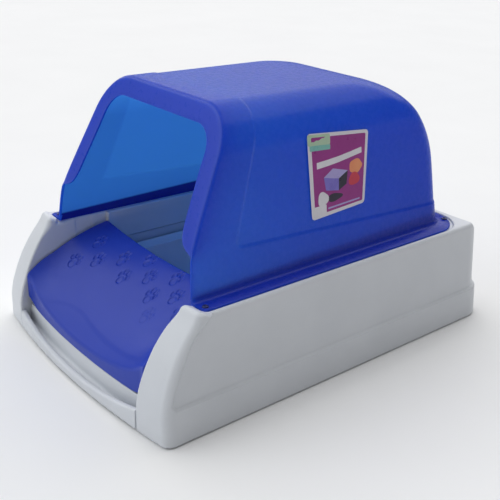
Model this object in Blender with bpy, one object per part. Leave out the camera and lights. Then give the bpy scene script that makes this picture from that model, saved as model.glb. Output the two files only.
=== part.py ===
"""Hooded cat litter box: a double-walled base with a lift-out litter pan, a dished
entry ramp, a low front drawer and a lift-off translucent hood with a leaning front
opening.  Metres, +Z up.  +X is the right side seen from the front, +Y is the back,
and the floor is z = 0 under the middle of the box."""
import math

import bmesh
import bpy
from mathutils import Vector

for ob in list(bpy.data.objects):
    bpy.data.objects.remove(ob, do_unlink=True)

MM = 0.001
GAP = 0.3                     # clearance between touching pieces, mm

# ---- driving dimensions, mm; y is counted from the front corners of the base ----
SIDE_LEN = 603.0              # front corner to back wall at the floor
BULGE = 18.0                  # how far the middle of the front stands out
HALF_W = 212.0                # half width at the floor
Y_MID = (SIDE_LEN - BULGE) / 2.0
FOOT_H = 1.6                  # rubber feet lift the shell off the floor
PLINTH_H = 47.0
RECESS = 3.6                  # side panels lie this far behind the plinth
DRAFT = 10.0                  # each wall leans in this much up to the rim
RIM_Z = 153.0
RIM_W = 9.5                   # upstanding rim around the hood's flange
WALL = 3.0
BACK_R = 40.0                 # outer back corners, plan
FRONT_R = 12.0                # outer front corners, plan
PILLAR_X = 155.5              # inner faces of the two front pillars
TUB_X = 157.0                 # inner wall of the pan bay
TUB_Y0, TUB_Y1 = 122.0, 518.0
FLOOR_T = 3.0
FLANGE_X, FLANGE_Y0, FLANGE_Y1 = 189.6, 64.7, 551.0
FLANGE_T = 3.0
HOOD_T = 3.0
HOOD_WB, HOOD_WT = 167.0, 144.0        # half widths at the flange and below the shoulder
HOOD_TOP = 366.0
SHOULDER_R = 60.0
HOOD_BACK = 530.0
HOOD_BACK_R = 127.0
HOOD_FRONT = 64.3             # upright cheek at the bottom of the front edge
CHEEK_Z = 207.0
FRONT_TOP_Y = 143.0
BEZEL = 28.0
RAMP_X = 154.8
RAMP_Y1 = 140.0
RAMP_T = 3.0
PAN_X, PAN_Y0, PAN_Y1 = 149.0, 127.0, 512.0
PAN_TOP = 90.0
DRAWER_X = 154.6


# ---------------------------------------------------------------- helpers
def P(x, y, z):
    return Vector((x * MM, (y - Y_MID) * MM, z * MM))


def material(name, rgb, rough, alpha=1.0, metal=0.0):
    m = bpy.data.materials.new(name)
    m.use_nodes = True
    b = m.node_tree.nodes["Principled BSDF"]
    b.inputs["Base Color"].default_value = (*rgb, 1.0)
    b.inputs["Roughness"].default_value = rough
    b.inputs["Metallic"].default_value = metal
    b.inputs["Alpha"].default_value = alpha
    return m


def new_object(name, bm, mat, origin=None, smooth=30.0, cutter=False):
    bmesh.ops.remove_doubles(bm, verts=bm.verts, dist=1e-6)
    bmesh.ops.recalc_face_normals(bm, faces=bm.faces)
    if origin is not None:
        bmesh.ops.translate(bm, verts=bm.verts, vec=-origin)
    me = bpy.data.meshes.new(name)
    bm.to_mesh(me)
    bm.free()
    me.materials.append(mat)
    me.shade_smooth()
    me.set_sharp_from_angle(angle=math.radians(smooth))
    ob = bpy.data.objects.new(name, me)
    if origin is not None:
        ob.location = origin
    bpy.context.scene.collection.objects.link(ob)
    if cutter:
        ob.hide_render = True
        ob.display_type = 'WIRE'
    return ob


def loft(rings, closed_ends=True):
    """Closed rings of equal length, bridged in order, with both ends capped."""
    bm = bmesh.new()
    vr = [[bm.verts.new(p) for p in r] for r in rings]
    n = len(vr[0])
    for a, b in zip(vr, vr[1:]):
        for i in range(n):
            j = (i + 1) % n
            bm.faces.new((a[i], a[j], b[j], b[i]))
    if closed_ends:
        bm.faces.new(vr[0][::-1])
        bm.faces.new(vr[-1])
    return bm


def prism_x(profile, x0, x1):
    """A (y, z) outline run along X."""
    return loft([[P(x0, y, z) for y, z in profile], [P(x1, y, z) for y, z in profile]])


def prism_z(outline, z0, z1):
    return loft([[P(x, y, z0) for x, y in outline], [P(x, y, z1) for x, y in outline]])


def boolean(ob, other, op):
    m = ob.modifiers.new(other.name, 'BOOLEAN')
    m.operation = op
    m.solver = 'EXACT'
    m.object = other
    return m


def arc(cx, cy, r, a0, a1, n):
    return [(cx + r * math.cos(math.radians(a0 + (a1 - a0) * i / n)),
             cy + r * math.sin(math.radians(a0 + (a1 - a0) * i / n))) for i in range(n + 1)]


def round_rect(hx, y0, y1, r0, r1, n=6):
    """Rounded rectangle, half width hx, front corners r0, back corners r1."""
    pts = arc(hx - r0, y0 + r0, r0, -90, 0, n) if r0 > 0 else [(hx, y0)]
    pts += arc(hx - r1, y1 - r1, r1, 0, 90, n)
    pts += arc(-hx + r1, y1 - r1, r1, 90, 180, n)
    pts += arc(-hx + r0, y0 + r0, r0, 180, 270, n) if r0 > 0 else [(-hx, y0)]
    return pts


def bulge(x):
    return -BULGE * (1.0 - min(1.0, abs(x) / HALF_W) ** 2)


def base_outline(inset, n_front=12, n_corner=7):
    """Plan of the base: straight sides, round back corners, bowed front."""
    hx = HALF_W - inset
    y1 = SIDE_LEN - inset
    rb = BACK_R - inset * 0.5
    pts = []
    for i in range(n_front + 1):
        x = -(hx - FRONT_R) + 2.0 * (hx - FRONT_R) * i / n_front
        pts.append((x, bulge(x / hx * HALF_W) + 0.15 * inset))
    y_c = pts[-1][1]
    for a in (-62, -36, -12):
        pts.append((hx - FRONT_R + FRONT_R * math.cos(math.radians(a)),
                    y_c + FRONT_R + FRONT_R * math.sin(math.radians(a))))
    pts.append((hx, y_c + FRONT_R + 1.0))
    pts += arc(hx - rb, y1 - rb, rb, 0, 90, n_corner)
    pts += arc(-hx + rb, y1 - rb, rb, 90, 180, n_corner)
    pts.append((-hx, y_c + FRONT_R + 1.0))
    for a in (192, 216, 242):
        pts.append((-hx + FRONT_R + FRONT_R * math.cos(math.radians(a)),
                    y_c + FRONT_R + FRONT_R * math.sin(math.radians(a))))
    return pts


# profile of the pillars' front edge: (set back from the bowed front, height)
PILLAR = [(0.0, -20.0), (0.0, 36.0), (1.5, 47.0), (4.5, 60.0), (8.5, 72.0), (13.0, 84.5),
          (18.5, 97.0), (24.5, 108.5), (31.5, 120.0), (39.5, 131.5), (48.0, 142.5),
          (51.5, 148.0), (54.0, 152.6), (56.5, 155.8), (59.5, 157.4), (62.0, 156.6),
          (64.0, 154.2), (65.5, 153.0)]

white = material("white_plastic", (0.72, 0.74, 0.77), 0.42)
white_pan = material("pan_plastic", (0.66, 0.70, 0.76), 0.45)
blue = material("blue_hood_plastic", (0.03, 0.06, 0.42), 0.22, alpha=0.8)
blue_ramp = material("blue_ramp_plastic", (0.04, 0.06, 0.40), 0.28, alpha=0.85)
rubber = material("foot_rubber", (0.04, 0.04, 0.045), 0.75)
stud_mat = material("stud_plastic", (0.015, 0.02, 0.14), 0.35)
label_mat = material("label_vinyl", (0.25, 0.05, 0.28), 0.35)


# ---------------------------------------------------------------- base shell
def inset_at(z, recess):
    return DRAFT * max(0.0, z) / RIM_Z + recess


def body_rings(recess, top):
    rings = []
    levels = [(FOOT_H, 1.6), (FOOT_H + 1.6, 0.0), (PLINTH_H, 0.0), (top - 7.5, 0.0), (top - 3.6, 0.9),
              (top - 1.0, 3.4), (top, 6.2)]
    for z, extra in levels:
        rings.append([P(x, y, z) for x, y in base_outline(inset_at(z, recess) + extra)])
    return rings


base = new_object("base_shell", loft(body_rings(RECESS, RIM_Z)), white)

# plinth and front pillars stand proud of the side panels
proud = new_object("cut_proud", loft(body_rings(0.0, 158.0)), white, cutter=True)
region = [(-60, -10), (720, -10), (720, PLINTH_H - 1.5), (9.5, PLINTH_H - 1.5),
          (12.0, 63.5), (21.0, 85.6), (31.5, 107.3), (44.0, 128.3), (57.0, 140.5), (66.0, 147.0), (72.0, 153.0),
          (60.0, 175.0), (-60, 175)]
proud_region = new_object("cut_proud_region", prism_x(region, -300, 300), white, cutter=True)
boolean(proud, proud_region, 'INTERSECT')
boolean(base, proud, 'UNION')

# the swept front of the pillars
rings = []
for i in range(25):
    x = -260.0 + 520.0 * i / 24.0
    b = bulge(x)
    prof = [(b + s, z) for s, z in PILLAR]
    prof += [(90.0, 153.0), (90.0, 240.0), (-140.0, 240.0), (-140.0, -20.0)]
    rings.append([P(x, y, z) for y, z in prof])
front_cut = new_object("cut_front", loft(rings), white, cutter=True)
boolean(base, front_cut, 'DIFFERENCE')

# seat for the hood's flange, inside the rim
seat_z = RIM_Z - FLANGE_T - GAP
seat = new_object("cut_seat", prism_z(round_rect(HALF_W - DRAFT - RECESS + 2.6 - RIM_W, FLANGE_Y0 - 0.8,
                                                  FLANGE_Y1 + 0.8, 9.0, 48.0), seat_z, 200.0), white, cutter=True)
boolean(base, seat, 'DIFFERENCE')

# bay for the litter pan: the lower wall is set back under the upper one
bay = new_object("cut_bay", prism_z(round_rect(TUB_X, TUB_Y0, TUB_Y1, 14.0, 34.0), FOOT_H + FLOOR_T, 220.0),
                 white, cutter=True)
boolean(base, bay, 'DIFFERENCE')
bay_low = new_object("cut_bay_low", prism_z(round_rect(TUB_X + 2.6, TUB_Y0 - 1.0, TUB_Y1 + 2.6, 16.0, 36.0),
                                            FOOT_H + FLOOR_T, 103.0), white, cutter=True)
boolean(base, bay_low, 'DIFFERENCE')

# bay under the ramp, open to the front between the pillars
bay_rings = []
for z, hx in ((FOOT_H + FLOOR_T, PILLAR_X), (70.0, PILLAR_X), (110.0, PILLAR_X + 2.0), (150.0, PILLAR_X + 7.0), (220.0, PILLAR_X + 12.0)):
    bay_rings.append([P(x, y, z) for x, y in ((-hx, -80), (hx, -80), (hx, 116.0), (-hx, 116.0))])
front_bay = new_object("cut_front_bay", loft(bay_rings), white, cutter=True)
boolean(base, front_bay, 'DIFFERENCE')
# above the low cross wall the two bays are one
over_wall = new_object("cut_over_wall", prism_z([(-PILLAR_X, 100.0), (PILLAR_X, 100.0), (PILLAR_X, 140.0), (-PILLAR_X, 140.0)],
                                                96.0, 220.0), white, cutter=True)
boolean(base, over_wall, 'DIFFERENCE')
# the floor stops behind the drawer's front
lip = []
for i in range(17):
    x = -PILLAR_X + 2 * PILLAR_X * i / 16.0
    lip.append((x, bulge(x) + 10.0))
lip_cut = new_object("cut_floor_lip", prism_z(lip + [(PILLAR_X, -80.0), (-PILLAR_X, -80.0)], -5.0, 60.0),
                     white, cutter=True)
boolean(base, lip_cut, 'DIFFERENCE')

# hollow between the outer and the inner wall, open below
def hollow_outline(side):
    x_in = TUB_X + 2.6 + WALL
    x_out = HALF_W - DRAFT - RECESS - WALL - 1.0
    pts = [(x_in, 30.0), (x_out, 30.0), (x_out, 540.0), (x_in, 540.0)]
    return [(side * x, y) for x, y in (pts if side > 0 else pts[::-1])]


for side, tag in ((1, "right"), (-1, "left")):
    o = hollow_outline(side)
    hz = [[P(x, y, -5.0) for x, y in o], [P(x, y, 62.0) for x, y in o],
          [P(x, max(y, 62.0), 120.0) for x, y in o], [P(x, max(y, 82.0), RIM_Z - FLANGE_T - 3.6) for x, y in o]]
    h = new_object("cut_hollow_" + tag, loft(hz), white, cutter=True)
    boolean(base, h, 'DIFFERENCE')
back_hollow = new_object("cut_hollow_back", prism_z([(-152.0, 524.5), (152.0, 524.5), (152.0, 583.0), (-152.0, 583.0)],
                                                    -5.0, 128.0), white, cutter=True)
boolean(base, back_hollow, 'DIFFERENCE')

# hand-hold behind the hood: the back rim is scooped down between the corners
grip_prof = [(560.5, 240.0), (560.5, 154.0), (562.0, 148.5), (565.0, 143.0), (570.0, 140.0), (578.0, 138.5), (640.0, 138.5), (640.0, 240.0)]
rings = []
for x, k in ((-240.0, 0.55), (-184.0, 0.5), (-176.0, 0.22), (-166.0, 0.0), (166.0, 0.0), (176.0, 0.22), (184.0, 0.5), (240.0, 0.55)):
    rings.append([P(x, y, z + k * (153.0 - z) if z < 200 else z) for y, z in grip_prof])
grip = new_object("cut_grip", loft(rings), white, cutter=True)
boolean(base, grip, 'DIFFERENCE')

# sockets for the hood studs and dimples low on the plinth
STUDS = {"front_left": (-181.0, 74.0), "front_right": (181.0, 74.0),
         "back_left": (-160.0, 538.5), "back_right": (160.0, 538.5)}


def disc(cx, cy, r, z0, z1, n=16, chamfer=0.0):
    rr = [(r, z0), (r, z1 - chamfer)] + ([(r - chamfer, z1)] if chamfer else [(r, z1)])
    rings = []
    for rad, z in rr:
        rings.append([P(cx + rad * math.cos(2 * math.pi * i / n), cy + rad * math.sin(2 * math.pi * i / n), z)
                      for i in range(n)])
    if not chamfer:
        rings = [rings[0], rings[-1]]
    return loft(rings)


for side, tag in ((1, "right"), (-1, "left")):
    rings = []
    for x in (side * 216.0, side * 207.0):
        rings.append([P(x, 566.0 + 1.8 * math.cos(2 * math.pi * i / 10), 10.5 + 1.8 * math.sin(2 * math.pi * i / 10))
                      for i in range(10)])
    dm = new_object("cut_dimple_" + tag, loft(rings), white, cutter=True)
    boolean(base, dm, 'DIFFERENCE')

# ---------------------------------------------------------------- feet
FEET = {"front_left": (-128.0, 48.0), "front_right": (128.0, 48.0),
        "back_left": (-128.0, 462.0), "back_right": (128.0, 462.0)}
for tag, (fx, fy) in FEET.items():
    new_object("rubber_foot_" + tag, disc(fx, fy, 13.0, 0.0, FOOT_H - GAP, 24), rubber)

# ---------------------------------------------------------------- hood studs
for tag, (sx, sy) in STUDS.items():
    new_object("hood_stud_" + tag, disc(sx, sy, 4.0, seat_z + GAP, RIM_Z + 1.8, 20, 1.0), stud_mat)


# ---------------------------------------------------------------- litter pan
def pan_ring(z, off, r):
    lean = 5.0 * (z - 5.0) / 85.0
    return [P(x, y, z) for x, y in round_rect(PAN_X + lean * 0.6 - off, PAN_Y0 - lean * 0.3 + off, PAN_Y1 + lean * 0.5 - off,
                                              max(4.0, r - off), max(4.0, r + 8 - off), 5)]


z0 = FOOT_H + FLOOR_T + GAP
# a sloping flange runs round the top of the tub
rings = [pan_ring(z0, 15.0, 26), pan_ring(z0 + 6.0, 9.0, 26), pan_ring(PAN_TOP - 15.0, 9.0, 26),
         pan_ring(PAN_TOP - 6.0, -3.2, 22), pan_ring(PAN_TOP, -3.2, 22), pan_ring(PAN_TOP - 11.0, 12.0, 26),
         pan_ring(z0 + 8.5, 12.0, 26), pan_ring(z0 + 2.8, 17.0, 26)]
new_object("litter_pan", loft(rings), white_pan)


# ---------------------------------------------------------------- entry ramp
def interp(t, table):
    for (a, va), (b, vb) in zip(table, table[1:]):
        if t <= b:
            return va + (vb - va) * (t - a) / (b - a)
    return table[-1][1]


# ramp heights over distance back, along its sides and down its middle
EDGE = [(-6.0, 66.0), (-1.0, 76.0), (3.7, 83.5), (14.0, 92.5), (26.0, 100.5), (48.0, 110.0),
        (70.0, 120.0), (100.0, 130.0), (125.0, 136.0), (140.0, 138.0)]
MIDDLE = [(-3.0, 50.5), (20.0, 67.0), (50.0, 86.5), (85.0, 109.0), (112.0, 126.0), (127.0, 134.5), (140.0, 138.0)]
RAMP_CORNER = 13.0            # the last stretch beside each pillar comes forward 4 mm


def ramp_front(x):
    """Front edge: parallel to the bowed front, its ends flush with the pillars' edges."""
    y = bulge(x) + 16.0
    over = abs(x) - (RAMP_X - RAMP_CORNER)
    if over > 0:
        y -= 4.0 * (over / RAMP_CORNER) ** 2
    return y


def ramp_back(x):
    return RAMP_Y1 - 8.5 * (1.0 - min(1.0, abs(x) / RAMP_X) ** 2)


def ramp_top(x, y):
    m, e = interp(y, MIDDLE), interp(y, EDGE)
    u = min(1.0, abs(x) / RAMP_X)
    return m + (e - m) * (0.45 * u ** 2.2 + 0.55 * u ** 8)


def ramp_lip(x):
    """Depth of the front lip, whose lower edge stays nearly level."""
    return ramp_top(x, ramp_front(x)) - 37.0 - 15.0 * (abs(x) / RAMP_X) ** 16


def ramp_mesh():
    xs = [-RAMP_X, -RAMP_X + RAMP_T, -RAMP_X + RAMP_T + 0.2]
    n = 14
    xs += [-RAMP_X + 8.0]
    xs += [-RAMP_X + 14.0 + (2 * RAMP_X - 28.0) * i / n for i in range(n + 1)]
    xs += [RAMP_X - 8.0, RAMP_X - RAMP_T - 0.2, RAMP_X - RAMP_T, RAMP_X]
    ts = [0.0, 1.0, 2.0] + [3.0 + i for i in range(11)] + [14.0, 15.0, 16.0]
    m = len(ts)

    def y_at(x, j):
        y0 = ramp_front(x)
        if j == 0:
            return y0
        if j == 1:
            return y0 + RAMP_T
        if j == 2:
            return y0 + RAMP_T + 0.2
        if j == m - 1:
            return ramp_back(x)
        if j == m - 2:
            return ramp_back(x) - RAMP_T
        if j == m - 3:
            return ramp_back(x) - RAMP_T - 0.2
        a, b = y0 + RAMP_T + 0.2, ramp_back(x) - RAMP_T - 0.2
        return a + (b - a) * (j - 2) / (m - 5)
    bm = bmesh.new()
    top, bot = [], []
    for i, x in enumerate(xs):
        rt, rb = [], []
        for j in range(m):
            y = y_at(x, j)
            z = ramp_top(x, y)
            rt.append(bm.verts.new(P(x, y, z)))
            front = j <= 1
            edge = i <= 1 or i >= len(xs) - 2
            back = j >= m - 2
            d = RAMP_T
            if front:
                d = ramp_lip(x)
            elif edge:
                d = 22.0
            elif back:
                d = 9.0
            rb.append(bm.verts.new(P(x, y, z - d)))
        top.append(rt)
        bot.append(rb)
    nx = len(xs)
    for i in range(nx - 1):
        for j in range(m - 1):
            bm.faces.new((top[i][j], top[i + 1][j], top[i + 1][j + 1], top[i][j + 1]))
            bm.faces.new((bot[i][j], bot[i][j + 1], bot[i + 1][j + 1], bot[i + 1][j]))
    for i in range(nx - 1):
        bm.faces.new((top[i][0], bot[i][0], bot[i + 1][0], top[i + 1][0]))
        bm.faces.new((top[i][m - 1], top[i + 1][m - 1], bot[i + 1][m - 1], bot[i][m - 1]))
    for j in range(m - 1):
        bm.faces.new((top[0][j], top[0][j + 1], bot[0][j + 1], bot[0][j]))
        bm.faces.new((top[nx - 1][j], bot[nx - 1][j], bot[nx - 1][j + 1], top[nx - 1][j + 1]))
    return bm


ramp = new_object("entry_ramp", ramp_mesh(), blue_ramp, origin=P(0.0, RAMP_Y1, 138.0))

# ---------------------------------------------------------------- front drawer
def sill_top(x):
    return 13.0 + 17.0 * min(1.0, abs(x) / PILLAR_X) ** 2.2


def drawer_mesh():
    """Sill, finger trough, riser and tray in one run of profiles along X."""
    bm_rings = []
    n = 20
    for i in range(n + 1):
        x = -DRAWER_X + 2.0 * DRAWER_X * i / n
        b = bulge(x)
        s = sill_top(x)
        riser = 36.4
        prof = [(b + 0.0, 3.0), (b + 0.0, s - 1.5), (b + 1.5, s), (b + 6.5, s), (b + 8.0, s - 1.5), (b + 8.4, 8.6),
                (b + 16.0, 8.6), (b + 16.6, riser), (b + 19.4, riser), (b + 19.8, 8.0),
                (104.0, 8.0), (104.0, 34.0), (107.0, 34.0), (107.0, 5.4), (b + 9.5, 5.4), (b + 9.5, 3.0)]
        bm_rings.append([P(x, y, z) for y, z in prof])
    return loft(bm_rings)


drawer = new_object("front_drawer", drawer_mesh(), white, origin=P(0.0, 0.0, 5.0))
for side, tag in ((1, "right"), (-1, "left")):
    xs = sorted((side * (DRAWER_X - 3.0), side * DRAWER_X))
    # side walls close the trough's ends and the tray's sides
    wl = new_object("add_drawer_wall_" + tag, prism_x([(7.0, 6.5), (105.5, 6.5), (105.5, 33.0), (13.0, 33.0), (9.0, 30.0), (7.0, 20.0)],
                                                      xs[0], xs[1]), white, cutter=True)
    boolean(drawer, wl, 'UNION')


# ---------------------------------------------------------------- hood
def hood_half(z):
    zc = HOOD_TOP - SHOULDER_R
    if z <= zc:
        return HOOD_WB + (HOOD_WT - HOOD_WB) * (z - RIM_Z) / (zc - RIM_Z)
    k = min(1.0, (z - zc) / SHOULDER_R)
    return HOOD_WT - SHOULDER_R + SHOULDER_R * math.sqrt(max(0.0, 1.0 - k * k))


def hood_back(z):
    y = HOOD_BACK - 14.0 * (z - RIM_Z) / (HOOD_TOP - RIM_Z)
    zc = HOOD_TOP - HOOD_BACK_R
    if z > zc:
        k = min(1.0, (z - zc) / HOOD_BACK_R)
        y = y - HOOD_BACK_R + HOOD_BACK_R * math.sqrt(max(0.0, 1.0 - k * k))
    return y


def hood_front(z):
    if z <= CHEEK_Z:
        return HOOD_FRONT + 3.0 * max(0.0, z - RIM_Z) / (CHEEK_Z - RIM_Z)
    return HOOD_FRONT + 3.0 + (FRONT_TOP_Y - HOOD_FRONT - 3.0) * (z - CHEEK_Z) / (HOOD_TOP - CHEEK_Z)


def hood_u(z, t):
    """The hood's plan at one height, an open U from right front to left front."""
    hx = hood_half(min(z, HOOD_TOP)) - t
    yb = hood_back(min(z, HOOD_TOP)) - t
    yf = hood_front(z)
    rc = 33.0 - t
    pts = [(hx, yf + (yb - rc - yf) * i / 5.0) for i in range(5)]
    pts += arc(hx - rc, yb - rc, rc, 0, 90, 8)
    pts += arc(-hx + rc, yb - rc, rc, 90, 180, 8)
    pts += [(-hx, yf + (yb - rc - yf) * i / 5.0) for i in range(4, -1, -1)]
    return pts


def hood_levels(top):
    zc = top - SHOULDER_R
    lv = [RIM_Z - FLANGE_T, RIM_Z, 180.0, CHEEK_Z, 240.0, 268.0, 296.0, zc]
    for a in (15, 30, 45, 58, 70, 80, 90):
        lv.append(zc + SHOULDER_R * math.sin(math.radians(a)))
    return lv


def hood_mesh():
    bm = bmesh.new()
    outer = []
    inner = []
    for z in hood_levels(HOOD_TOP):
        outer.append([bm.verts.new(P(x, y, z)) for x, y in hood_u(z, 0.0)])
    n_levels = len(outer)
    for k, z in enumerate(hood_levels(HOOD_TOP)):
        zi = z if k < 8 else z - HOOD_T * (k - 7) / (n_levels - 8.0)
        hx_pts = hood_u(z, HOOD_T)
        yf = hood_front(zi)
        pts = []
        m = len(hx_pts)
        for idx, (x, y) in enumerate(hx_pts):
            if idx == 0 or idx == m - 1:
                y = yf
            pts.append(bm.verts.new(P(x, y, zi)))
        inner.append(pts)
    for a, b in zip(outer, outer[1:]):
        for i in range(len(a) - 1):
            bm.faces.new((a[i], a[i + 1], b[i + 1], b[i]))
    for a, b in zip(inner, inner[1:]):
        for i in range(len(a) - 1):
            bm.faces.new((a[i], b[i], b[i + 1], a[i + 1]))
    bm.faces.new(outer[-1])
    bm.faces.new(inner[-1][::-1])
    for i in range(len(outer[0]) - 1):
        bm.faces.new((outer[0][i], inner[0][i], inner[0][i + 1], outer[0][i + 1]))
    for k in range(n_levels - 1):
        bm.faces.new((outer[k][0], outer[k + 1][0], inner[k + 1][0], inner[k][0]))
        bm.faces.new((outer[k][-1], inner[k][-1], inner[k + 1][-1], outer[k + 1][-1]))
    bm.faces.new((outer[-1][0], outer[-1][-1], inner[-1][-1], inner[-1][0]))
    return bm


hood = new_object("hood_shell", hood_mesh(), blue, origin=P(0.0, 0.0, RIM_Z))


def bezel_mesh():
    """In-turned band round the leaning front opening."""
    slope = (FRONT_TOP_Y - HOOD_FRONT - 3.0) / (HOOD_TOP - CHEEK_Z)
    outer, inner = [], []
    z_end = CHEEK_Z + 4.0
    zs = [z_end, 240.0, 268.0, 296.0, HOOD_TOP - SHOULDER_R]
    for z in zs:
        outer.append((hood_half(z) - 0.6, z))
    for a in (20, 40, 60, 80):
        z = HOOD_TOP - SHOULDER_R + (SHOULDER_R - 0.6) * math.sin(math.radians(a))
        outer.append((HOOD_WT - SHOULDER_R + (SHOULDER_R - 0.6) * math.cos(math.radians(a)), z))
    outer.append((60.0, HOOD_TOP - 0.6))
    outer.append((20.0, HOOD_TOP - 0.6))
    r_in = SHOULDER_R - 20.0
    zi_top = HOOD_TOP - 26.0
    inner.append((hood_half(z_end) - 4.0, z_end + 0.4))
    inner.append((hood_half(z_end + 7.0) - 22.0, z_end + 7.0))
    for z in (240.0, 268.0, 290.0):
        inner.append((hood_half(z) - BEZEL, z))
    cx = HOOD_WT - BEZEL - r_in - 0.5
    for a in (0, 22, 45, 68, 90):
        inner.append((cx + r_in * math.cos(math.radians(a)), zi_top - r_in + r_in * math.sin(math.radians(a))))
    inner.append((20.0, zi_top))
    half = list(zip(outer, inner))
    full = half + [((-o[0], o[1]), (-i[0], i[1])) for o, i in half[::-1]]
    bm = bmesh.new()
    cols = []
    for o, i in full:
        quad = []
        for (x, z), dy in ((o, 0.4), (i, 0.4), (i, 3.4), (o, 3.4)):
            y = HOOD_FRONT + 3.0 + slope * (z - CHEEK_Z) + dy
            quad.append(bm.verts.new(P(x, y, z)))
        cols.append(quad)
    for a, b in zip(cols, cols[1:]):
        for k in range(4):
            j = (k + 1) % 4
            bm.faces.new((a[k], a[j], b[j], b[k]))
    bm.faces.new(cols[0][::-1])
    bm.faces.new(cols[-1])
    return bm


bezel = new_object("add_bezel", bezel_mesh(), blue, cutter=True)
boolean(hood, bezel, 'UNION')


def flange_mesh():
    out = []
    hx, y0, y1 = FLANGE_X, FLANGE_Y0, FLANGE_Y1
    out += [(hx - 6.0, y0), (hx, y0 + 6.0)]
    out += [(hx, y0 + 60.0), (hx, 300.0)]
    out += arc(hx - 47.0, y1 - 47.0, 47.0, 0, 90, 8)
    full = out + [(-x, y) for x, y in out[::-1]]
    ins = []
    wi = HOOD_WB - 1.2
    yi = HOOD_BACK - 1.2
    ins += [(wi, y0), (wi, y0 + 6.0)]
    ins += [(wi, y0 + 60.0), (wi, 300.0)]
    ins += arc(wi - 31.8, yi - 31.8, 31.8, 0, 90, 8)
    full_i = ins + [(-x, y) for x, y in ins[::-1]]
    bm = bmesh.new()
    cols = []
    for (xo, yo), (xi, yi2) in zip(full, full_i):
        cols.append([bm.verts.new(P(xo, yo, RIM_Z - FLANGE_T)), bm.verts.new(P(xi, yi2, RIM_Z - FLANGE_T)),
                     bm.verts.new(P(xi, yi2, RIM_Z)), bm.verts.new(P(xo, yo, RIM_Z))])
    for a, b in zip(cols, cols[1:]):
        for k in range(4):
            j = (k + 1) % 4
            bm.faces.new((a[k], a[j], b[j], b[k]))
    bm.faces.new(cols[0][::-1])
    bm.faces.new(cols[-1])
    return bm


flange = new_object("add_flange", flange_mesh(), blue, cutter=True)
boolean(hood, flange, 'UNION')
for tag, (sx, sy) in STUDS.items():
    hole = new_object("cut_stud_hole_" + tag, disc(sx, sy, 4.6, RIM_Z - 12.0, RIM_Z + 12.0, 20), blue, cutter=True)
    boolean(hood, hole, 'DIFFERENCE')


# ---------------------------------------------------------------- label on the right wall
LABEL = [(259.5, 211.0), (356.5, 217.0), (367.0, 313.5), (256.0, 322.0)]    # (y, z) corners


def label_mesh():
    pts = []
    n = len(LABEL)
    r = 6.0
    for i in range(n):
        c = Vector(LABEL[i])
        a = (Vector(LABEL[i - 1]) - c).normalized()
        b = (Vector(LABEL[(i + 1) % n]) - c).normalized()
        s, e = c + a * r, c + b * r
        for k in range(4):
            t = k / 3.0
            q = s * (1 - t) ** 2 + c * (2 * t * (1 - t)) + e * t ** 2
            pts.append((q.x, q.y))
    bm = bmesh.new()
    rings = []
    for off in (GAP, GAP + 0.4):
        rings.append([bm.verts.new(P(hood_wall_x(z) + off, y, z)) for y, z in pts])
    m = len(pts)
    for i in range(m):
        j = (i + 1) % m
        bm.faces.new((rings[0][i], rings[0][j], rings[1][j], rings[1][i]))
    bm.faces.new(rings[0][::-1])
    bm.faces.new(rings[1])
    return bm


def hood_wall_x(z):
    return hood_half(z)


new_object("hood_label", label_mesh(), label_mat)
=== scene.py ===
"""Looks for the hooded cat litter box: moulded shells with real fillets, a translucent
blue hood and ramp, a satin white base, a printed label without lettering."""
import math

import bmesh
import bpy
import numpy as np
from mathutils import Matrix, Vector


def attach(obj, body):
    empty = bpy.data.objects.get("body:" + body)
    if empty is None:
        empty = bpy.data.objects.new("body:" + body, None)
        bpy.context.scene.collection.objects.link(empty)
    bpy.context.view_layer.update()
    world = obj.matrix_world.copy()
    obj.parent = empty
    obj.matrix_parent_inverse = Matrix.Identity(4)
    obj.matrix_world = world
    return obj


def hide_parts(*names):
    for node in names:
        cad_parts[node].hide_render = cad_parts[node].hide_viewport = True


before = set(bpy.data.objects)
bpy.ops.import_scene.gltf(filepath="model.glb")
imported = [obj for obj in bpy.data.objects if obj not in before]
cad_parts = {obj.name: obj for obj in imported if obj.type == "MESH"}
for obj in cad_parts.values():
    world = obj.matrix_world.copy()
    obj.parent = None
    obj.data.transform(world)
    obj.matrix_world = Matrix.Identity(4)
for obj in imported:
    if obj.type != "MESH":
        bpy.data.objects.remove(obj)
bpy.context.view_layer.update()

# all shapes are in mm, y counted from the front corners of the base
Y_MID = 292.5


def to_world(p):
    p = np.asarray(p, dtype=np.float64).copy()
    p[:, 1] -= Y_MID
    return p * 0.001


# ------------------------------------------------------------------ mesh helpers
def make_mesh(name, verts, faces, mat, normals=None, body=None):
    """verts in mm; faces as an (n, 4) or (n, 3) array, or a list of lists."""
    me = bpy.data.meshes.new(name)
    w = to_world(verts)
    if isinstance(faces, np.ndarray):
        n, k = faces.shape
        me.vertices.add(len(w))
        me.vertices.foreach_set("co", w.astype(np.float32).ravel())
        me.loops.add(n * k)
        me.loops.foreach_set("vertex_index", faces.astype(np.int32).ravel())
        me.polygons.add(n)
        me.polygons.foreach_set("loop_start", np.arange(0, n * k, k, dtype=np.int32))
        me.update(calc_edges=True)
    else:
        me.from_pydata([tuple(v) for v in w], [], faces)
    me.validate()
    me.polygons.foreach_set("use_smooth", np.ones(len(me.polygons), dtype=bool))
    if normals is not None:
        me.normals_split_custom_set_from_vertices([tuple(v) for v in normals])
    me.materials.append(mat)
    ob = bpy.data.objects.new(name, me)
    bpy.context.scene.collection.objects.link(ob)
    if body:
        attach(ob, body)
    return ob


def rmin(a, b, r):
    """Union with a round fillet of radius r."""
    return np.maximum(r, np.minimum(a, b)) - np.sqrt(np.maximum(r - a, 0.0) ** 2 + np.maximum(r - b, 0.0) ** 2)


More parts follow.
